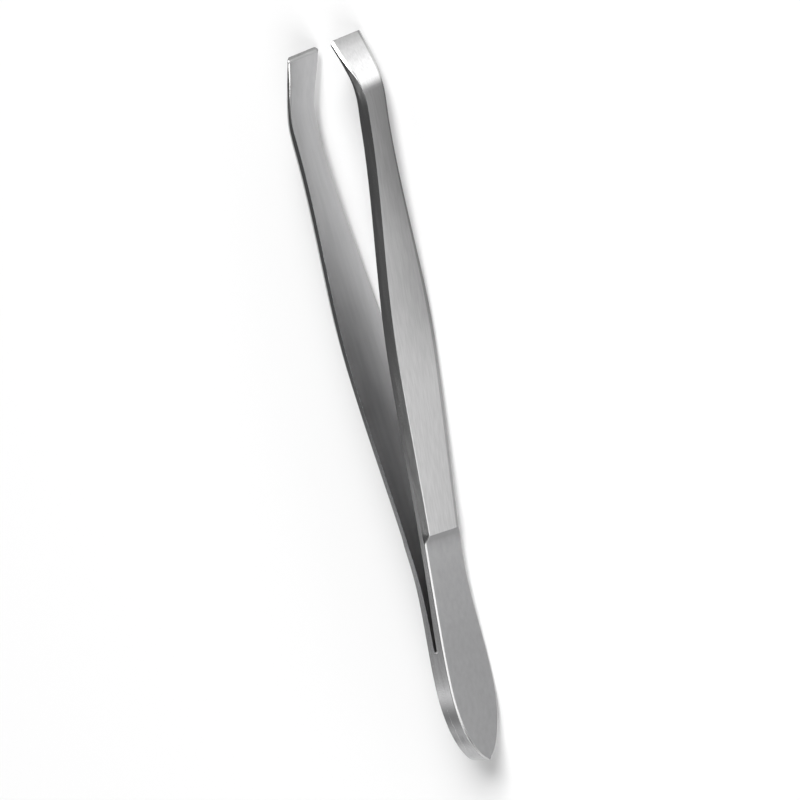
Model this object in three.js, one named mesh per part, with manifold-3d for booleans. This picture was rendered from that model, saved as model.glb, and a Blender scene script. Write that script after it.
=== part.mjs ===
// Slant-tip claw tweezers, 90 mm long, lying on one side edge as they lie on a table.
// Millimetres, +Z up. +X runs from the heel to the tips, the right half is on -Y and the left half on +Y.
// The origin is the centre of the bounding box, on the surface that the tweezers lie on.
//
// Each half is one steel blade. It is drawn as four lengths that meet end to end: the welded heel leaf,
// the thin leaf that bends, the stiff grip arm and the claw tip. The heel filler sits between the halves.

import * as THREE from 'three';
import { mergeVertices } from 'three/addons/utils/BufferGeometryUtils.js';
import Module from 'manifold-3d';

// Driving dimensions, measured along X from the heel end
const bladeLength = 90.2;
const weldEnd = 14;
const flexEnd = 26;
const leafEnd = 27.5;
const shoulderStart = 27.9;
const shoulderEnd = 28.9;
const clawStart = 78.5;
const bendAt = 83.3;
const bendReach = 2.3;
const bowFrom = 40;
const bowTo = 62;

// Widths across the blade, which is along Z. Between the stations the outline eases from one to the next
const planStations = [
  { at: 10, width: 7.85 }, // widest part of the heel leaf
  { at: 24.5, width: 6.5 }, // waist just before the shoulder
  { at: 50.5, width: 8 }, // widest part of the grip
  { at: 79, width: 4.1 }, // neck behind the claw
  { at: 92, width: 5.6 }, // flare of the claw, a little past its end
];
const heelRoundness = 0.6;
const heelNose = 0.06;

// The inner face, as distances from the middle plane
const fillerThickness = 0.4;
const armSlope = 0.102; // at the shoulder
const bowedSlope = 0.082; // past the widest part of the grip
const clawSlope = 0.36;

// Thickness of the blade
const heelThickness = 1.1;
const waistThickness = 0.85;
const gripThickness = 1.25;
const neckThickness = 1.2;
const tipThickness = 0.45;

// Bevels along the outer face: how far each is cut in, and the share of the edge that is left square
const leafBevel = 0.42;
const gripBevel = 0.8;
const tipBevel = 0.2;
const leafLand = 0.76;
const gripLand = 0.45;
const bevelLimit = 0.6; // the most of the half width that a bevel takes, near the nose

// The slant of the claws and of the ground bevel on their inner edge
const slant = 0.22;
const clawDrop = 0.6;
const clawLevel = 88; // where the claw has come down by all of its drop
const groundAngle = THREE.MathUtils.degToRad(23);

const jointGap = 0.05; // between two lengths of one blade
const weldGap = 0.02; // between the filler and each heel leaf
const fillerInset = 0.15;

// Steps that each length is drawn with, and how they crowd towards its heel end (1 is even)
const heelSteps = { count: 24, easing: 2 };
const springSteps = { count: 14, easing: 1 };
const gripSteps = { count: 52, easing: 2 };
const clawSteps = { count: 14, easing: 1 };
const fillerSteps = { count: 20, easing: 2 };
const grindingBlockSize = 12;
const mergeDistance = 1e-4;

const axisHeight = Math.max(...planStations.map((station) => station.width)) / 2;
const fillerHalf = fillerThickness / 2;

const { lerp, smoothstep } = THREE.MathUtils;

// Height gained by a line whose slope grows evenly from 0 to 1 between two stations
function turned(x, from, to) {
  if (x <= from) return 0;
  if (x >= to) return x - (from + to) / 2;
  return (x - from) ** 2 / (2 * (to - from));
}

// Distance of the inner face from the middle plane
function innerFace(x) {
  const armRise = armSlope * turned(x, weldEnd, flexEnd);
  const bowFall = (armSlope - bowedSlope) * turned(x, bowFrom, bowTo);
  const clawFall = (bowedSlope + clawSlope) * turned(x, bendAt - bendReach, bendAt + bendReach);
  return fillerHalf + armRise - bowFall - clawFall;
}

function halfWidth(x) {
  const widest = planStations[0];
  if (x <= widest.at) return (widest.width / 2) * (1 - (1 - x / widest.at) ** 2) ** heelRoundness;
  const next = planStations.findIndex((station) => x < station.at);
  const a = planStations[next - 1];
  const b = planStations[next];
  return lerp(a.width, b.width, smoothstep(x, a.at, b.at)) / 2;
}

function thickness(x) {
  const leaf = lerp(heelThickness, waistThickness, smoothstep(x, weldEnd, flexEnd));
  const arm = lerp(gripThickness, neckThickness, smoothstep(x, bowTo, clawStart));
  const claw = lerp(arm, tipThickness, smoothstep(x, bendAt - 2 * bendReach, bladeLength + bendReach));
  const ramp = THREE.MathUtils.clamp((x - shoulderStart) / (shoulderEnd - shoulderStart), 0, 1);
  return lerp(leaf, claw, ramp ** 2);
}

function bevelInset(x) {
  const grip = lerp(leafBevel, gripBevel, smoothstep(x, shoulderStart, shoulderEnd));
  return Math.min(lerp(grip, tipBevel, smoothstep(x, bendAt, bladeLength)), halfWidth(x) * bevelLimit);
}

function squareShare(x) {
  return lerp(leafLand, gripLand, smoothstep(x, shoulderStart, shoulderEnd));
}

// The claws are bent and cut along a slanted line, so their upper edge ends sooner than their lower edge
function clawShare(x) {
  return smoothstep(x, clawStart, bendAt);
}

// The section of the blade before it is fitted to its place: across from -1 to 1, out from 0 to 1
const bevelMark = 0.8;
const squareMark = 0.5;
const unitSection = new THREE.Shape([
  new THREE.Vector2(-1, 0),
  new THREE.Vector2(1, 0),
  new THREE.Vector2(1, squareMark),
  new THREE.Vector2(bevelMark, 1),
  new THREE.Vector2(-bevelMark, 1),
  new THREE.Vector2(-1, squareMark),
]);

// One length of a blade: the unit section is extruded, and each of its points is moved to its place
function bladeLengthGeometry(side, from, to, { count, easing }) {
  const geometry = new THREE.ExtrudeGeometry(unitSection, { depth: 1, steps: count, bevelEnabled: false });
  const position = geometry.getAttribute('position');
  for (let i = 0; i < position.count; i += 1) {
    const across = position.getX(i);
    const out = position.getY(i);
    const x = lerp(from, to, position.getZ(i) ** easing);
    const inset = (bevelInset(x) * (1 - Math.abs(across))) / (1 - bevelMark);
    const height = Math.sign(across) * (halfWidth(x) - inset);
    const share = out > squareMark ? 1 : (squareShare(x) * out) / squareMark;
    const z = axisHeight + height - clawDrop * smoothstep(x, clawStart, clawLevel);
    const y = side * (innerFace(x) + share * thickness(x));
    position.setXYZ(i, x - slant * height * clawShare(x), y, z);
  }
  return geometry;
}

const wasm = await Module();
wasm.setup();

function mergedByPosition(geometry) {
  geometry.deleteAttribute('normal');
  geometry.deleteAttribute('uv');
  return mergeVertices(geometry, mergeDistance);
}

// A mirrored blade has its triangles turned round, so that the faces point out on both halves
function flipped(geometry) {
  const index = geometry.getIndex();
  for (let i = 0; i < index.count; i += 3) {
    const first = index.getX(i);
    index.setX(i, index.getX(i + 2));
    index.setX(i + 2, first);
  }
  return geometry;
}

function toManifold(geometry) {
  return new wasm.Manifold(new wasm.Mesh({
    numProp: 3,
    vertProperties: new Float32Array(geometry.getAttribute('position').array),
    triVerts: new Uint32Array(geometry.getIndex().array),
  }));
}

function fromManifold(manifold) {
  const mesh = manifold.getMesh();
  const geometry = new THREE.BufferGeometry();
  geometry.setAttribute('position', new THREE.BufferAttribute(new Float32Array(mesh.vertProperties), 3));
  geometry.setIndex(new THREE.BufferAttribute(new Uint32Array(mesh.triVerts), 1));
  return geometry;
}

function bladePiece(side, from, to, steps) {
  const geometry = mergedByPosition(bladeLengthGeometry(side, from, to, steps));
  return side < 0 ? geometry : flipped(geometry);
}

// The block that grinds the claw's end: its face stands on the outer tip edge and leans to the inner face
function grindingBlock(side) {
  const block = new THREE.BoxGeometry(grindingBlockSize, grindingBlockSize, grindingBlockSize);
  block.translate(0, (-side * grindingBlockSize) / 2, 0);
  block.rotateZ(side * groundAngle);
  const shear = new THREE.Matrix4().makeShear(0, 0, 0, 0, -slant, 0);
  block.applyMatrix4(shear);
  const tipOuter = innerFace(bladeLength) + tipThickness;
  block.translate(bladeLength, side * tipOuter, axisHeight - clawDrop);
  return mergedByPosition(block);
}

function clawPiece(side) {
  const blank = toManifold(bladePiece(side, clawStart, bladeLength, clawSteps));
  return fromManifold(blank.subtract(toManifold(grindingBlock(side))));
}

// The filler fills the space between the heel leaves, a little inside their edges
function fillerGeometry() {
  const outline = new THREE.Shape();
  const { count, easing } = fillerSteps;
  const from = heelNose + 2 * fillerInset;
  const station = (i) => lerp(from, weldEnd, (i / count) ** easing);
  const edge = (x) => Math.max(halfWidth(x) - fillerInset, fillerInset);
  outline.moveTo(from, edge(from));
  for (let i = 1; i <= count; i += 1) outline.lineTo(station(i), edge(station(i)));
  for (let i = count; i >= 0; i -= 1) outline.lineTo(station(i), -edge(station(i)));
  const thick = fillerThickness - 2 * weldGap;
  const plate = new THREE.ExtrudeGeometry(outline, { depth: thick, bevelEnabled: false });
  plate.rotateX(Math.PI / 2);
  plate.translate(0, thick / 2, axisHeight);
  return plate;
}

const brushedSteel = () => new THREE.MeshStandardMaterial({ color: 0xb4b4b6, roughness: 0.38, metalness: 1 });
const satinSteel = () => new THREE.MeshStandardMaterial({ color: 0x9c9c9e, roughness: 0.45, metalness: 1 });
const fillerSteel = () => new THREE.MeshStandardMaterial({ color: 0x8a8a8c, roughness: 0.5, metalness: 1 });

const tweezers = new THREE.Group();

function addNode(name, geometry, material) {
  const mesh = new THREE.Mesh(geometry, material);
  mesh.name = name;
  tweezers.add(mesh);
}

const halves = [
  { name: 'right', side: -1 },
  { name: 'left', side: 1 },
];

for (const { name, side } of halves) {
  addNode(`heel_leaf_${name}`, bladePiece(side, heelNose, weldEnd, heelSteps), satinSteel());
  const springLeaf = bladePiece(side, weldEnd + jointGap, leafEnd - jointGap, springSteps);
  addNode(`spring_leaf_${name}`, springLeaf, satinSteel());
  const gripArm = bladePiece(side, leafEnd, clawStart - jointGap, gripSteps);
  addNode(`grip_arm_${name}`, gripArm, brushedSteel());
  addNode(`claw_tip_${name}`, clawPiece(side), brushedSteel());
}
addNode('heel_filler', fillerGeometry(), fillerSteel());

// Bring the middle of the length over the origin
const bounds = new THREE.Box3().setFromObject(tweezers);
tweezers.position.x = -(bounds.min.x + bounds.max.x) / 2;

export default tweezers;
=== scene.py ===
import math

import bmesh
import bpy
import numpy as np
from mathutils import Matrix, Vector


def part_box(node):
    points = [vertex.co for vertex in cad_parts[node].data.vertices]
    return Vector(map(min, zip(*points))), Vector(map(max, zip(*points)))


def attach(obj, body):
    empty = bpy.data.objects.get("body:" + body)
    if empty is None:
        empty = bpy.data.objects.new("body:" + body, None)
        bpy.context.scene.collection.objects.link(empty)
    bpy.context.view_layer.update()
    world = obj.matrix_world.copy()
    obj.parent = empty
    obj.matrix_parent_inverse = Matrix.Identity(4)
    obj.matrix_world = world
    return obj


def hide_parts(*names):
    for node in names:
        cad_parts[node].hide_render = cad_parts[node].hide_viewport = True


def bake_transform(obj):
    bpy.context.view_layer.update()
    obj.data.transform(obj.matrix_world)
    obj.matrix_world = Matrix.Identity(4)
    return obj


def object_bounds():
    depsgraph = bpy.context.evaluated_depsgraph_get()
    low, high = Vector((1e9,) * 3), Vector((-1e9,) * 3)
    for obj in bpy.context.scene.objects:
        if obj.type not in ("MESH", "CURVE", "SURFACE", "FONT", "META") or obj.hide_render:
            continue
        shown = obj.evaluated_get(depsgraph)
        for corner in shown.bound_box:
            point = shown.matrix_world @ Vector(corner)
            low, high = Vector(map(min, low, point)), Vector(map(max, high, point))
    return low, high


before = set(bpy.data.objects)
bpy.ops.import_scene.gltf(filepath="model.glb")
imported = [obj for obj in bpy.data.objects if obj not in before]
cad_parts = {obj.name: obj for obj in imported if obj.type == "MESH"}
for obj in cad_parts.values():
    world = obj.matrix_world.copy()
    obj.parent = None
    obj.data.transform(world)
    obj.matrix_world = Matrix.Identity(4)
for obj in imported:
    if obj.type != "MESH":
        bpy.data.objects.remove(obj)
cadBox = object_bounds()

print("frame loaded")

# Slant-tip claw tweezers lying on a side edge. +X runs from the heel to the tips, the arms open along Y.
# Blade sizes are in millimetres, counted from the heel end. They become metres when a mesh is written.

mm = 0.001
nose = 0.06  # the CAD outline starts this far in, where it already has some width
mergeDistance = 1e-8  # in metres
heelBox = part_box("heel_leaf_right")
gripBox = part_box("grip_arm_right")

blade = {
    "length": 90.2,
    "weldEnd": (heelBox[1].x - heelBox[0].x) / mm + nose,
    "flexEnd": 26.0,
    "shoulder": (27.8, 29.0),
    "faceStart": 28.75,
    "clawStart": 78.5,
    "clawLevel": 88.0,
    "bend": (81.0, 85.6),
    "bow": (40.0, 62.0),
    "plan": [(10.0, 7.85), (24.5, 6.5), (50.5, 8.0), (79.0, 4.1), (92.0, 5.6)],
    "heelRoundness": 0.6,
    "innerGap": 0.24,
    "armSlope": 0.102,
    "bowedSlope": 0.082,
    "clawSlope": 0.36,
    "heelThick": 1.1,
    "waistThick": 0.85,
    "gripThick": 1.25,
    "neckThick": 1.3,
    "tipThick": 0.45,
    "leafBevel": 0.03,
    "gripBevel": 0.62,
    "neckBevel": 0.4,
    "clawBevel": 0.02,
    "leafBevelDrop": 0.03,
    "gripBevelDrop": 0.58,
    "neckBevelDrop": 0.62,
    "clawBevelDrop": 0.12,
    "leafGlint": 0.22,
    "gripGlint": 0.13,
    "neckGlint": 0.03,
    "clawGlint": 0.36,
    "armGlintTilt": math.radians(29),
    "clawGlintTilt": math.radians(28),
    "glintFade": (38.0, 60.0),
    "bevelEnds": (83.2, 88.0),
    "bevelMost": (0.3, 0.66),  # share of the half width, share of the thickness
    "glintMost": (0.5, 0.4),
    "neckCrown": 0.07,
    "crownRise": (50, 70),
    "crownFall": (82, 86),
    "slant": 0.22,
    "clawDrop": 0.6,
    "groundAngle": math.radians(15),
    "groundStart": 3,  # the ground end builds up over this last length
    "heelChamfer": 0.004,
    "chamferBefore": 0.1,
    "chamferAfter": 0.6,
    "armChamfer": 0.02,
    "clawChamfer": 0.17,
    "chamferMost": 0.7,
    "arrisRound": 0.08,
    "arrisMost": 0.45,  # share of the shorter side that a rounding may use up
    "fullWidth": 1.2,  # narrower or thinner than these, the roundings shrink
    "fullThick": 0.8,
    "arcSteps": 4,
    # sections from one station to the next, closer together where the shape turns
    "runs": [(0.0, 10.0, 70), (10.0, 27.6, 40), (27.6, 29.2, 40), (29.2, 78.5, 90), (78.5, 88.8, 60),
             (88.8, 90.2, 16)],
    "firstStation": 0.01,
}
heelX = heelBox[0].x / mm - nose
axisZ = (gripBox[0].z + gripBox[1].z) / 2 / mm


def mix(a, b, t):
    return a + (b - a) * t


def smooth(x, a, b):
    t = min(max((x - a) / (b - a), 0), 1)
    return t * t * (3 - 2 * t)


def turned(x, a, b):
    # height gained by a line whose slope grows evenly from 0 to 1 between a and b
    if x <= a:
        return 0
    if x >= b:
        return x - (a + b) / 2
    return (x - a) ** 2 / (2 * (b - a))


def innerFace(x):
    rise = blade["armSlope"] * turned(x, blade["weldEnd"], blade["flexEnd"])
    bow = (blade["armSlope"] - blade["bowedSlope"]) * turned(x, *blade["bow"])
    claw = (blade["bowedSlope"] + blade["clawSlope"]) * turned(x, *blade["bend"])
    return blade["innerGap"] + rise - bow - claw


def halfWidth(x):
    plan = blade["plan"]
    if x <= plan[0][0]:
        return plan[0][1] / 2 * (1 - (1 - x / plan[0][0]) ** 2) ** blade["heelRoundness"]
    for (a, wideA), (b, wideB) in zip(plan, plan[1:]):
        if x < b:
            return mix(wideA, wideB, smooth(x, a, b)) / 2


def shoulderShare(x):
    return smooth(x, *blade["shoulder"])


def thickness(x):
    leaf = mix(blade["heelThick"], blade["waistThick"], smooth(x, blade["weldEnd"], blade["flexEnd"]))
    arm = mix(blade["gripThick"], blade["neckThick"], smooth(x, blade["bow"][1], blade["clawStart"]))
    reach = (blade["bend"][1] - blade["bend"][0]) / 2
    bendAt = blade["bend"][0] + reach
    claw = mix(arm, blade["tipThick"], smooth(x, bendAt - 2 * reach, blade["length"] + reach))
    return mix(leaf, claw, shoulderShare(x))


def bevelAt(x):
    # how far the bevel is cut in from the edge and how far it drops, both small on the leaf and the claw
    shares = shoulderShare(x), smooth(x, *blade["bow"]), smooth(x, *blade["bevelEnds"])
    sizes = []
    for size in ("Bevel", "BevelDrop"):
        value = blade["leaf" + size]
        for length, share in zip(("grip", "neck", "claw"), shares):
            value = mix(value, blade[length + size], share)
        sizes.append(value)
    widest, deepest = blade["bevelMost"]
    return min(sizes[0], halfWidth(x) * widest), min(sizes[1], thickness(x) * deepest)


def glintAt(x):
    # the narrow polished facet between the bevel and the outer face
    arm = mix(mix(blade["leafGlint"], blade["gripGlint"], shoulderShare(x)), blade["neckGlint"],
              smooth(x, *blade["glintFade"]))
    clawShare = smooth(x, *blade["bevelEnds"])
    inset = mix(arm, blade["clawGlint"], clawShare)
    drop = inset * math.tan(mix(blade["armGlintTilt"], blade["clawGlintTilt"], clawShare))
    if x < blade["plan"][0][0]:
        # keeps its width round the nose
        step = 0.01
        inset = inset * math.hypot(1, (halfWidth(x + step) - halfWidth(x)) / step)
    widest, deepest = blade["glintMost"]
    return min(inset, halfWidth(x) * widest), min(drop, thickness(x) * deepest)


def chamferAt(x):
    # the inner edges are only broken along the arms, and properly chamfered on the claws
    start = blade["weldEnd"] - blade["chamferBefore"]
    end = blade["weldEnd"] + blade["chamferAfter"]
    arm = mix(blade["heelChamfer"], blade["armChamfer"], smooth(x, start, end))
    return mix(arm, blade["clawChamfer"], smooth(x, blade["bend"][0], blade["bend"][1]))


def crownAt(x):
    # the outer face swells a little across its width at the neck
    return blade["neckCrown"] * smooth(x, *blade["crownRise"]) * (1 - smooth(x, *blade["crownFall"]))


def roundedCorner(before, corner, after, radius, longest, steps):
    # arc points that take a corner off with one radius, using up at most the longest length of each side
    a = (before - corner) / np.linalg.norm(before - corner)
    b = (after - corner) / np.linalg.norm(after - corner)
    angle = math.acos(max(-1, min(1, float(a @ b))))
    reach = min(radius / math.tan(angle / 2), longest)
    radius = reach * math.tan(angle / 2)
    start = corner + a * reach
    end = corner + b * reach
    centre = corner + (a + b) / np.linalg.norm(a + b) * radius / math.sin(angle / 2)
    points = []
    for i in range(steps + 1):
        t = i / steps
        p = mix(start, end, t) - centre
        points.append(centre + p / np.linalg.norm(p) * radius)
    return points


wideRun = (0.03, 0.12, 0.25, 0.4, 0.5, 0.6, 0.75, 0.85, 0.93)
sideRun = (0.1, 0.5, 0.9)
sectionZones = ("edge", "inner", "edge", "land", "bevel", "glint", "face", "glint", "bevel", "land")
cornerZones = ("edge", "edge", "edge", "edge", "bevel", "glint", "glint", "glint", "glint", "bevel")


def sectionAt(x):
    # closed loop of (across, outward) points with rounded corners, and the zone that follows each point
    w = halfWidth(x)
    t = thickness(x)
    inset, drop = bevelAt(x)
    glint, glintDrop = glintAt(x)
    shoulderOut = t - glintDrop
    land = shoulderOut - drop
    cut = min(chamferAt(x), land * blade["chamferMost"])
    half = ((w, cut), (w, land), (w - inset, shoulderOut), (w - inset - glint, t))
    corners = [(-w, cut), (cut - w, 0), (w - cut, 0)]
    corners += list(half) + [(-a, o) for a, o in reversed(half[1:])]
    corners = [np.array(c) for c in corners]
    small = min(1, w / blade["fullWidth"], t / blade["fullThick"])
    count = len(corners)
    arcs = []
    for i in range(count):
        before, corner, after = corners[i - 1], corners[i], corners[(i + 1) % count]
        shortest = min(np.linalg.norm(before - corner), np.linalg.norm(after - corner))
        radius = cut if i < 4 else blade["arrisRound"]
        longest = shortest * blade["arrisMost"]
        arcs.append(roundedCorner(before, corner, after, radius * small, longest, blade["arcSteps"]))
    crown = crownAt(x)
    points = []
    marks = []
    for i in range(count):
        points += arcs[i]
        marks += [cornerZones[i]] * blade["arcSteps"] + [sectionZones[i]]
        start = arcs[i][-1]
        end = arcs[(i + 1) % count][0]
        for share in wideRun if sectionZones[i] in ("inner", "face") else sideRun:
            lift = crown * 4 * share * (1 - share) if sectionZones[i] == "face" else 0
            points.append(mix(start, end, share) + np.array((0, lift)))
            # the last strip of the outer face, next to the lower edge, gets painted shade: a darker colour in
            # place of the dark reflection along that rounded edge
            shadedRim = sectionZones[i] == "face" and share == wideRun[-1]
            marks.append("shadedRim" if shadedRim else sectionZones[i])
    return np.array(points), marks


def placeRing(x, side, section):
    # puts a section at its station, with the slanted claw and the ground end
    t = thickness(x)
    clawShare = smooth(x, blade["clawStart"], sum(blade["bend"]) / 2)
    drop = blade["clawDrop"] * smooth(x, blade["clawStart"], blade["clawLevel"])
    length = blade["length"]
    slopeSum = math.tan(blade["groundAngle"]) + blade["clawSlope"]
    backset = blade["tipThick"] / slopeSum * smooth(x, length - blade["groundStart"], length)
    ring = []
    for across, out in section:
        back = backset * (1 - out / t)
        inner = innerFace(x - backset)
        outer = innerFace(x) + t
        along = x - back - blade["slant"] * across * clawShare
        away = mix(inner, outer, out / t)
        ring.append(((heelX + along) * mm, side * away * mm, (axisZ + across - drop) * mm))
    return ring


zoneMaterials = ("leaf", "face", "shadedRim", "bevel", "glint", "land", "inner", "edge", "ground")


def zoneSlot(mark, x):
    if mark in ("face", "shadedRim") and x < blade["faceStart"]:
        return zoneMaterials.index("leaf")
    return zoneMaterials.index(mark)


def meshObject(name, verts, faces, slots, materials):
    mesh = bpy.data.meshes.new(name)
    mesh.from_pydata(verts, [], faces)
    for material in materials:
        mesh.materials.append(material)
    mesh.polygons.foreach_set("material_index", slots)
    mesh.polygons.foreach_set("use_smooth", [True] * len(faces))
    work = bmesh.new()
    work.from_mesh(mesh)
    bmesh.ops.remove_doubles(work, verts=work.verts, dist=mergeDistance)
    bmesh.ops.recalc_face_normals(work, faces=work.faces)
    work.to_mesh(mesh)
    work.free()
    obj = bpy.data.objects.new(name, mesh)
    bpy.context.scene.collection.objects.link(obj)
    return obj


def makeBlade(name, side, materials):
    # the first run starts closer together, because the nose is round
    stations = []
    for a, b, count in blade["runs"]:
        for i in range(count):
            share = i / count
            stations.append(mix(a, b, share * share if a == 0 else share))
    stations[0] = blade["firstStation"]
    stations.append(blade["length"])
    verts = []
    faces = []
    slots = []
    marks = None
    for x in stations:
        section, marks = sectionAt(x)
        verts += placeRing(x, side, section)
    count = len(marks)
    for r in range(len(stations) - 1):
        for i in range(count):
            j = (i + 1) % count
            a = r * count
            faces.append((a + i, a + j, a + count + j, a + count + i))
            slots.append(zoneSlot(marks[i], (stations[r] + stations[r + 1]) / 2))
    for r in (0, len(stations) - 1):
        a = r * count
        innerStart = marks.index("inner")
        innerEnd = innerStart + len(wideRun) + 1
        outerStart = marks.index("face")
        outerEnd = outerStart + len(wideRun) + 1
        for k in range(len(wideRun) + 1):
            faces.append((a + innerStart + k, a + innerStart + k + 1, a + outerEnd - k - 1, a + outerEnd - k))
            slots.append(zoneMaterials.index("ground" if r else "land"))
        faces.append(tuple(a + i for i in range(innerEnd, outerStart + 1)))
        faces.append(tuple(a + i % count for i in range(outerEnd, count + innerStart + 1)))
        slots += [zoneMaterials.index("ground" if r else "land")] * 2
    return meshObject(name, verts, faces, slots, materials)


def newMaterial(name):
    material = bpy.data.materials.new(name)
    material.use_nodes = True
    material.node_tree.nodes.clear()
    return material


def addNode(tree, kind, **values):
    node = tree.nodes.new(kind)
    for key, value in values.items():
        setattr(node, key, value)
    return node


noiseSpread = (0.3, 0.7)  # the part of the noise's range that is stretched to the whole
brushing = {"across": (1, 0.01, 0.02), "bumpDistance": 0.00002}  # the last in metres


def makeGrainGroup():
    # fine lines drawn out along X, with a second slower set for streaks
    group = bpy.data.node_groups.new("brushedGrain", "ShaderNodeTree")
    face = group.interface
    face.new_socket("Lines per metre", in_out="INPUT", socket_type="NodeSocketVector")
    face.new_socket("Streaks per metre", in_out="INPUT", socket_type="NodeSocketVector")
    face.new_socket("Grain", in_out="OUTPUT", socket_type="NodeSocketFloat")
    face.new_socket("Streak", in_out="OUTPUT", socket_type="NodeSocketFloat")
    inside = group.nodes
    entry = inside.new("NodeGroupInput")
    leave = inside.new("NodeGroupOutput")
    coords = inside.new("ShaderNodeTexCoord")
    for source, target, detail in (("Lines per metre", "Grain", 4.0), ("Streaks per metre", "Streak", 2.0)):
        scaled = addNode(group, "ShaderNodeVectorMath", operation="MULTIPLY")
        noise = inside.new("ShaderNodeTexNoise")
        noise.inputs["Scale"].default_value = 1.0
        noise.inputs["Detail"].default_value = detail
        group.links.new(coords.outputs["Object"], scaled.inputs[0])
        group.links.new(entry.outputs[source], scaled.inputs[1])
        group.links.new(scaled.outputs[0], noise.inputs["Vector"])
        spread = group.nodes.new("ShaderNodeMapRange")
        spread.inputs["From Min"].default_value = noiseSpread[0]
        spread.inputs["From Max"].default_value = noiseSpread[1]
        group.links.new(noise.outputs["Fac"], spread.inputs["Value"])
        group.links.new(spread.outputs[0], leave.inputs[target])
    return group


# Painted light: brightness of a zone against the station in millimetres from the heel, and how much it falls
# off across the width.
# These curves scale the steel's base colour to paint reflections, highlights and shade into it. The claws are
# cut along a slant, so their stations lean with the height.
paintedLightCurves = {
    # face: painted reflection darkens the neck from 62 mm on, a painted highlight brightens the claw bend,
    # painted shade darkens the lower side
    "face": {
        "lean": blade["slant"],
        "level": [(0.0, 1.0), (45.0, 0.98), (62.0, 0.72), (75.0, 0.48), (82.9, 0.44), (84.3, 1.6),
                  (86.0, 1.5), (88.0, 1.15), (90.0, 0.75)],
        "shadeAcross": [(0.0, 0.06), (46.0, 0.08), (58.0, 0.26), (76.0, 0.5), (82.0, 0.3), (85.0, 0.0)],
    },
    "leaf": {
        # leaf: painted shade darkens the ramp below the shoulder, and the lower side a little
        "lean": 0.0,
        "level": [(0.0, 0.93), (14.0, 0.93), (21.0, 1.0), (26.4, 1.07), (27.6, 0.98), (28.2, 0.8),
                  (28.75, 0.78)],
        "shadeAcross": [(0.0, 0.04), (28.0, 0.04)],
    },
    # land: painted reflection gives a dark band near the nose, light lands on the heel leaf, and darker lands
    # towards the claws
    "land": {
        "lean": 0.0,
        "level": [(0.0, 0.9), (3.0, 1.0), (6.4, 0.35), (10.5, 1.4), (14.0, 1.85), (22.0, 1.8),
                  (26.0, 1.4), (29.0, 1.05), (45.0, 0.82), (60.0, 0.62), (90.0, 0.55)],
        "shadeAcross": [(0.0, 0.0), (90.0, 0.0)],
    },
    # bevel: painted shade darkens the bevel at the shoulder step and towards the claws
    "bevel": {
        "lean": 0.0,
        "level": [(0.0, 0.7), (27.0, 0.7), (27.6, 0.5), (28.8, 0.5), (29.4, 0.95), (45.0, 0.8),
                  (60.0, 0.62), (80.0, 0.5), (90.0, 0.5)],
        "shadeAcross": [(0.0, 0.0), (90.0, 0.0)],
    },
    # glint: a painted highlight brightens the facet on the leaf and the claw, and painted shade dims it along
    # the neck
    "glint": {
        "lean": 0.0,
        "level": [(0.0, 1.0), (27.0, 1.0), (30.0, 0.9), (45.0, 0.8), (58.0, 0.4), (82.0, 0.3),
                  (85.0, 0.5), (86.5, 1.2), (90.0, 1.2)],
        "shadeAcross": [(0.0, 0.0), (90.0, 0.0)],
    },
}


def addRamp(tree, source, stops):
    # a grey ramp along the blade, whose stops are (station, level) pairs
    ramp = tree.nodes.new("ShaderNodeValToRGB")
    tree.links.new(source, ramp.inputs[0])
    ramp.color_ramp.interpolation = "EASE"
    while len(ramp.color_ramp.elements) < len(stops):
        ramp.color_ramp.elements.new(0.5)
    for element, (x, level) in zip(ramp.color_ramp.elements, stops):
        element.position = x / blade["length"]
        element.color = (level, level, level, 1)
    return ramp.outputs[0]


# builds a group whose output scales base colour by a zone's painted light along the blade, times painted
# shade that darkens the lower side
def makePaintedLightGroup(zone):
    paintedLight = paintedLightCurves[zone]
    group = bpy.data.node_groups.new(zone + "PaintedLight", "ShaderNodeTree")
    group.interface.new_socket("PaintedLight", in_out="OUTPUT", socket_type="NodeSocketFloat")
    coords = group.nodes.new("ShaderNodeTexCoord")
    split = group.nodes.new("ShaderNodeSeparateXYZ")
    group.links.new(coords.outputs["Object"], split.inputs[0])
    height = addNode(group, "ShaderNodeMath", operation="SUBTRACT")
    height.inputs[1].default_value = axisZ * mm
    group.links.new(split.outputs["Z"], height.inputs[0])
    lean = addNode(group, "ShaderNodeMath", operation="MULTIPLY_ADD")
    lean.inputs[1].default_value = paintedLight["lean"]
    group.links.new(height.outputs[0], lean.inputs[0])
    group.links.new(split.outputs["X"], lean.inputs[2])
    station = group.nodes.new("ShaderNodeMapRange")
    station.inputs["From Min"].default_value = heelX * mm
    station.inputs["From Max"].default_value = (heelX + blade["length"]) * mm
    group.links.new(lean.outputs[0], station.inputs["Value"])
    share = addNode(group, "ShaderNodeMath", operation="DIVIDE")
    share.inputs[1].default_value = axisZ * mm
    group.links.new(height.outputs[0], share.inputs[0])
    across = addNode(group, "ShaderNodeMath", operation="MULTIPLY_ADD")
    across.inputs[2].default_value = 1.0
    group.links.new(share.outputs[0], across.inputs[0])
    group.links.new(addRamp(group, station.outputs[0], paintedLight["shadeAcross"]), across.inputs[1])
    product = addNode(group, "ShaderNodeMath", operation="MULTIPLY")
    group.links.new(addRamp(group, station.outputs[0], paintedLight["level"]), product.inputs[0])
    group.links.new(across.outputs[0], product.inputs[1])
    leave = group.nodes.new("NodeGroupOutput")
    group.links.new(product.outputs[0], leave.inputs["PaintedLight"])
    return group


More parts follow.
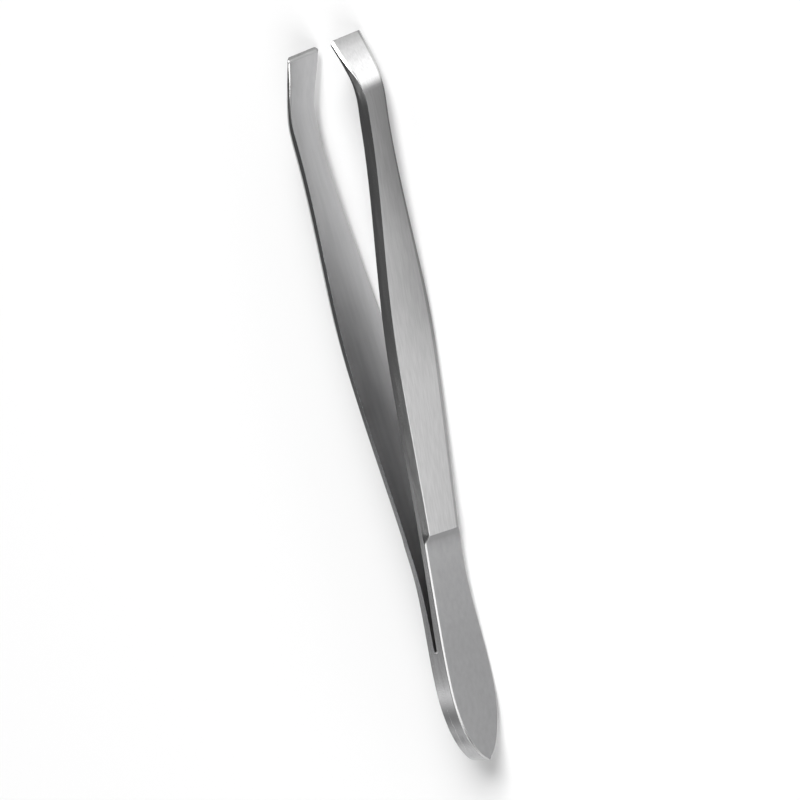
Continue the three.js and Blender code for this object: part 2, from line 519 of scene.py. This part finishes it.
def makeSteel(name, finish, grainGroup):
    material = newMaterial(name)
    tree = material.node_tree
    out = tree.nodes.new("ShaderNodeOutputMaterial")
    shader = tree.nodes.new("ShaderNodeBsdfPrincipled")
    tree.links.new(shader.outputs[0], out.inputs["Surface"])
    shader.inputs["Metallic"].default_value = 1.0
    grain = tree.nodes.new("ShaderNodeGroup")
    grain.node_tree = grainGroup
    grain.inputs["Lines per metre"].default_value = finish["lines"]
    grain.inputs["Streaks per metre"].default_value = finish["streaks"]
    colour = addNode(tree, "ShaderNodeMix", data_type="RGBA")
    colour.inputs[6].default_value = (*[c * finish["dark"] for c in finish["colour"]], 1)
    colour.inputs[7].default_value = (*finish["colour"], 1)
    tree.links.new(grain.outputs["Streak"], colour.inputs[0])
    # the base colour is multiplied by the zone's painted light and shade
    if finish["paintedLight"]:
        level = tree.nodes.new("ShaderNodeGroup")
        level.node_tree = paintedLightGroups[finish["paintedLight"]]
        paintedColour = addNode(tree, "ShaderNodeVectorMath", operation="SCALE")
        tree.links.new(colour.outputs[2], paintedColour.inputs[0])
        tree.links.new(level.outputs["PaintedLight"], paintedColour.inputs["Scale"])
        tree.links.new(paintedColour.outputs[0], shader.inputs["Base Color"])
    else:
        tree.links.new(colour.outputs[2], shader.inputs["Base Color"])
    rough = tree.nodes.new("ShaderNodeMapRange")
    rough.inputs["To Min"].default_value = finish["rough"][0]
    rough.inputs["To Max"].default_value = finish["rough"][1]
    tree.links.new(grain.outputs["Streak"], rough.inputs["Value"])
    tree.links.new(rough.outputs[0], shader.inputs["Roughness"])
    shader.inputs["Anisotropic"].default_value = finish["pull"]
    normal = tree.nodes.new("ShaderNodeNewGeometry")
    across = addNode(tree, "ShaderNodeVectorMath", operation="CROSS_PRODUCT")
    across.inputs[1].default_value = brushing["across"]
    tree.links.new(normal.outputs["Normal"], across.inputs[0])
    tree.links.new(across.outputs[0], shader.inputs["Tangent"])
    bump = tree.nodes.new("ShaderNodeBump")
    bump.inputs["Strength"].default_value = finish["bump"]
    bump.inputs["Distance"].default_value = brushing["bumpDistance"]
    tree.links.new(grain.outputs["Grain"], bump.inputs["Height"])
    tree.links.new(bump.outputs[0], shader.inputs["Normal"])
    return material


finishes = {
    "leaf": {"colour": (0.345, 0.345, 0.349), "dark": 0.9, "rough": (0.36, 0.42), "pull": 0.0, "bump": 0.06,
             "lines": (2500, 6000, 6000), "streaks": (900, 1500, 1500), "paintedLight": "leaf"},
    "face": {"colour": (0.56, 0.558, 0.56), "dark": 0.86, "rough": (0.34, 0.42), "pull": 0.6, "bump": 0.12,
             "lines": (150, 9000, 9000), "streaks": (25, 4500, 4500), "paintedLight": "face"},
    # painted shade: the rim has the face's finish with a darker colour
    "shadedRim": {"colour": (0.36, 0.36, 0.36), "dark": 0.86, "rough": (0.34, 0.42), "pull": 0.6, "bump": 0.12,
            "lines": (150, 9000, 9000), "streaks": (25, 4500, 4500), "paintedLight": "face"},
    "bevel": {"colour": (0.50, 0.50, 0.50), "dark": 0.9, "rough": (0.20, 0.25), "pull": 0.3, "bump": 0.03,
              "lines": (200, 9000, 9000), "streaks": (60, 2500, 2500), "paintedLight": "bevel"},
    "glint": {"colour": (0.55, 0.55, 0.55), "dark": 0.94, "rough": (0.18, 0.24), "pull": 0.0, "bump": 0.03,
              "lines": (200, 6000, 6000), "streaks": (90, 900, 900), "paintedLight": "glint"},
    "land": {"colour": (0.50, 0.50, 0.505), "dark": 0.9, "rough": (0.20, 0.26), "pull": 0.3, "bump": 0.03,
             "lines": (200, 9000, 9000), "streaks": (60, 2500, 2500), "paintedLight": "land"},
    "inner": {"colour": (0.50, 0.50, 0.505), "dark": 0.9, "rough": (0.32, 0.38), "pull": 0.0, "bump": 0.08,
              "lines": (300, 8000, 8000), "streaks": (60, 1500, 1500), "paintedLight": None},
    "edge": {"colour": (0.58, 0.58, 0.58), "dark": 0.94, "rough": (0.18, 0.24), "pull": 0.2, "bump": 0.03,
             "lines": (300, 8000, 8000), "streaks": (90, 900, 900), "paintedLight": None},
    "ground": {"colour": (0.45, 0.45, 0.45), "dark": 0.8, "rough": (0.34, 0.44), "pull": 0.0, "bump": 0.12,
               "lines": (9000, 9000, 400), "streaks": (1500, 1500, 200), "paintedLight": None},
}
grainGroup = makeGrainGroup()
paintedLightGroups = {zone: makePaintedLightGroup(zone) for zone in paintedLightCurves}
steel = [makeSteel("steel_" + zone, finishes[zone], grainGroup) for zone in zoneMaterials]
print("steel made")

bladeRight = makeBlade("blade_right", -1, steel)
bladeLeft = makeBlade("blade_left", 1, steel)
print("blades made", len(bladeRight.data.polygons))

# The weld fills the space between the heel leaves, flush with their edges. Its front is a row of ripples.
weld = {
    "start": 0.02,
    "end": blade["weldEnd"] + 0.5,
    "steps": 60,
    "easing": 1.7,
    "clear": 0.004,
    "rippleRadius": 0.25,
    "rippleCount": 15,
    "rippleDepth": 0.8,
    "rippleDetail": 3,
    "unevenness": 0.12,
    "seed": 4,
}


def makeWeldBody(name):
    gap = blade["innerGap"] - weld["clear"]
    shares = [(i / weld["steps"]) ** weld["easing"] for i in range(weld["steps"] + 1)]
    stations = [mix(weld["start"], weld["end"], share) for share in shares]
    verts = []
    faces = []
    for x in stations:
        w = halfWidth(x)
        for y, z in ((-gap, -w), (gap, -w), (gap, w), (-gap, w)):
            verts.append(((heelX + x) * mm, y * mm, (axisZ + z) * mm))
    for r in range(len(stations) - 1):
        for i in range(4):
            a = r * 4
            j = (i + 1) % 4
            faces.append((a + i, a + j, a + 4 + j, a + 4 + i))
    faces.append((0, 1, 2, 3))
    last = len(verts) - 4
    faces.append((last + 3, last + 2, last + 1, last))
    obj = meshObject(name, verts, faces, [0] * len(faces), [])
    for polygon in obj.data.polygons:
        polygon.use_smooth = False
    return obj


def makeRippleTree():
    # adds a line of squashed beads along Z to the piece that it is put on
    tree = bpy.data.node_groups.new("weldRipples", "GeometryNodeTree")
    face = tree.interface
    face.new_socket("Geometry", in_out="INPUT", socket_type="NodeSocketGeometry")
    for label, kind in (("Start", "Vector"), ("Length", "Float"), ("Count", "Int"), ("Radius", "Float"),
                        ("Depth", "Float"), ("Unevenness", "Float"), ("Seed", "Int"),
                        ("Material", "Material")):
        face.new_socket(label, in_out="INPUT", socket_type="NodeSocket" + kind)
    face.new_socket("Geometry", in_out="OUTPUT", socket_type="NodeSocketGeometry")
    entry = tree.nodes.new("NodeGroupInput").outputs
    leave = tree.nodes.new("NodeGroupOutput")
    link = tree.links.new
    spaces = addNode(tree, "ShaderNodeMath", operation="SUBTRACT")
    spaces.inputs[1].default_value = 1
    link(entry["Count"], spaces.inputs[0])
    pitch = addNode(tree, "ShaderNodeMath", operation="DIVIDE")
    link(entry["Length"], pitch.inputs[0])
    link(spaces.outputs[0], pitch.inputs[1])
    step = tree.nodes.new("ShaderNodeCombineXYZ")
    link(pitch.outputs[0], step.inputs["Z"])
    line = tree.nodes.new("GeometryNodeMeshLine")
    link(entry["Count"], line.inputs["Count"])
    link(entry["Start"], line.inputs["Start Location"])
    link(step.outputs[0], line.inputs["Offset"])
    bead = tree.nodes.new("GeometryNodeMeshIcoSphere")
    bead.inputs["Subdivisions"].default_value = weld["rippleDetail"]
    link(entry["Radius"], bead.inputs["Radius"])
    least = addNode(tree, "ShaderNodeMath", operation="SUBTRACT")
    least.inputs[0].default_value = 1
    link(entry["Unevenness"], least.inputs[1])
    size = addNode(tree, "FunctionNodeRandomValue", data_type="FLOAT")
    link(least.outputs[0], size.inputs[2])
    size.inputs[3].default_value = 1
    link(entry["Seed"], size.inputs["Seed"])
    depth = addNode(tree, "ShaderNodeMath", operation="MULTIPLY")
    link(size.outputs[1], depth.inputs[0])
    link(entry["Depth"], depth.inputs[1])
    shape = tree.nodes.new("ShaderNodeCombineXYZ")
    shape.inputs["Y"].default_value = 1
    link(depth.outputs[0], shape.inputs["X"])
    link(size.outputs[1], shape.inputs["Z"])
    beads = tree.nodes.new("GeometryNodeInstanceOnPoints")
    link(line.outputs["Mesh"], beads.inputs["Points"])
    link(bead.outputs["Mesh"], beads.inputs["Instance"])
    link(shape.outputs[0], beads.inputs["Scale"])
    join = tree.nodes.new("GeometryNodeJoinGeometry")
    link(entry["Geometry"], join.inputs[0])
    link(beads.outputs[0], join.inputs[0])
    real = tree.nodes.new("GeometryNodeRealizeInstances")
    link(join.outputs[0], real.inputs[0])
    paint = tree.nodes.new("GeometryNodeSetMaterial")
    link(real.outputs[0], paint.inputs["Geometry"])
    link(entry["Material"], paint.inputs["Material"])
    link(paint.outputs[0], leave.inputs[0])
    return tree


def makeWeld(name, material):
    obj = makeWeldBody(name)
    tree = makeRippleTree()
    reach = halfWidth(weld["end"]) - weld["rippleRadius"]
    values = {
        "Start": ((heelX + weld["end"]) * mm, 0, (axisZ - reach) * mm),
        "Length": 2 * reach * mm,
        "Count": weld["rippleCount"],
        "Radius": weld["rippleRadius"] * mm,
        "Depth": weld["rippleDepth"],
        "Unevenness": weld["unevenness"],
        "Seed": weld["seed"],
        "Material": material,
    }
    modifier = obj.modifiers.new("ripples", "NODES")
    modifier.node_group = tree
    for item in tree.interface.items_tree:
        if item.in_out == "INPUT" and item.name in values:
            modifier[item.identifier] = values[item.name]
    graph = bpy.context.evaluated_depsgraph_get()
    result = bpy.data.meshes.new_from_object(obj.evaluated_get(graph))
    obj.modifiers.remove(modifier)
    obj.data = result
    return obj


weldPiece = makeWeld("heel_weld", steel[zoneMaterials.index("land")])
print("weld made", len(weldPiece.data.polygons))

floorSettings = {"size": 8.0, "colour": (0.9, 0.9, 0.9), "rough": 0.6, "gloss": 0.1, "gap": 0.00002}


def makeFloor():
    half = floorSettings["size"] / 2
    z = cadBox[0].z - floorSettings["gap"]
    mesh = bpy.data.meshes.new("floor")
    corners = [(-half, -half, z), (half, -half, z), (half, half, z), (-half, half, z)]
    mesh.from_pydata(corners, [], [(0, 1, 2, 3)])
    floor = bpy.data.objects.new("floor", mesh)
    bpy.context.scene.collection.objects.link(floor)
    material = newMaterial("floorPaint")
    tree = material.node_tree
    out = tree.nodes.new("ShaderNodeOutputMaterial")
    shader = tree.nodes.new("ShaderNodeBsdfPrincipled")
    shader.inputs["Base Color"].default_value = (*floorSettings["colour"], 1)
    shader.inputs["Roughness"].default_value = floorSettings["rough"]
    shader.inputs["Specular IOR Level"].default_value = floorSettings["gloss"]
    tree.links.new(shader.outputs[0], out.inputs["Surface"])
    mesh.materials.append(material)
    return floor


floor = makeFloor()

camera = {
    "distance": 0.26,
    "azimuth": 2.4,
    "elevation": 45.0,
    "roll": 12.77,
    "lens": 95.2,
    "sensor": 36,
    "clip": (0.01, 20),
    "target": (0.00017, 0.00012, axisZ * mm),
}


def aimed(location, target):
    return (Vector(target) - Vector(location)).to_track_quat("-Z", "Y")


def makeCamera():
    data = bpy.data.cameras.new("camera")
    data.lens = camera["lens"]
    data.sensor_width = camera["sensor"]
    data.clip_start, data.clip_end = camera["clip"]
    obj = bpy.data.objects.new("camera", data)
    bpy.context.scene.collection.objects.link(obj)
    azimuth = math.radians(camera["azimuth"])
    elevation = math.radians(camera["elevation"])
    level = math.cos(elevation)
    away = Vector((math.sin(azimuth) * level, -math.cos(azimuth) * level, math.sin(elevation)))
    target = Vector(camera["target"])
    back = away.normalized()
    alongPicture = Vector((1, 0, 0)) - back * back.x  # the heel-to-tip direction as the camera sees it
    alongPicture.normalize()
    across = alongPicture.cross(back)
    roll = math.radians(camera["roll"])
    up = alongPicture * math.cos(roll) + across * math.sin(roll)
    right = up.cross(back)
    turn = Matrix((right, up, back)).transposed()
    obj.matrix_world = Matrix.Translation(target + away * camera["distance"]) @ turn.to_4x4()
    bpy.context.scene.camera = obj


makeCamera()
print("camera made")

roomLevels = (0.2, 1.0)  # for light and reflections, and as the camera looks at it
softboxes = [
    {"name": "key", "place": (2.60, -1.75, 2.35), "size": (2.4, 2.0), "power": 176.0},
    {"name": "claw", "place": (2.60, -2.20, 0.80), "size": (2.4, 0.8), "power": 20.0},
    {"name": "fill", "place": (-2.58, -1.80, 2.28), "size": (2.4, 1.8), "power": 52.0},
    {"name": "front", "place": (-0.18, -3.60, 0.84), "size": (3.0, 0.72), "power": 14.0},
    {"name": "side", "place": (-2.90, -1.90, 0.60), "size": (2.4, 0.8), "power": 10.0},
    {"name": "back", "place": (-0.72, 0.99, 0.99), "size": (0.90, 0.75), "power": 2.1},
    {"name": "tail", "place": (-1.35, 1.20, 0.30), "size": (1.20, 0.60), "power": 1.8},
]


def makeLights():
    for box in softboxes:
        data = bpy.data.lights.new(box["name"], "AREA")
        data.shape = "RECTANGLE"
        data.size, data.size_y = box["size"]
        data.energy = box["power"]
        obj = bpy.data.objects.new(box["name"], data)
        obj.location = box["place"]
        obj.rotation_mode = "QUATERNION"
        obj.rotation_quaternion = aimed(box["place"], (0, 0, 0))
        bpy.context.scene.collection.objects.link(obj)
    world = bpy.data.worlds.new("studio")
    world.use_nodes = True
    room = world.node_tree
    glow = room.nodes["Background"]
    glow.inputs[0].default_value = (1, 1, 1, 1)
    level = addNode(room, "ShaderNodeMapRange")
    level.inputs["To Min"].default_value = roomLevels[0]
    level.inputs["To Max"].default_value = roomLevels[1]
    room.links.new(room.nodes.new("ShaderNodeLightPath").outputs["Is Camera Ray"], level.inputs["Value"])
    room.links.new(level.outputs[0], glow.inputs[1])
    bpy.context.scene.world = world
    bpy.context.scene.view_settings.view_transform = "Standard"


makeLights()
print("lights made")

for half, piece in (("right", bladeRight), ("left", bladeLeft)):
    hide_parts("heel_leaf_" + half, "spring_leaf_" + half, "grip_arm_" + half, "claw_tip_" + half)
    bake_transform(piece)
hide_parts("heel_filler")
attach(weldPiece, "heel")

print("pieces placed")
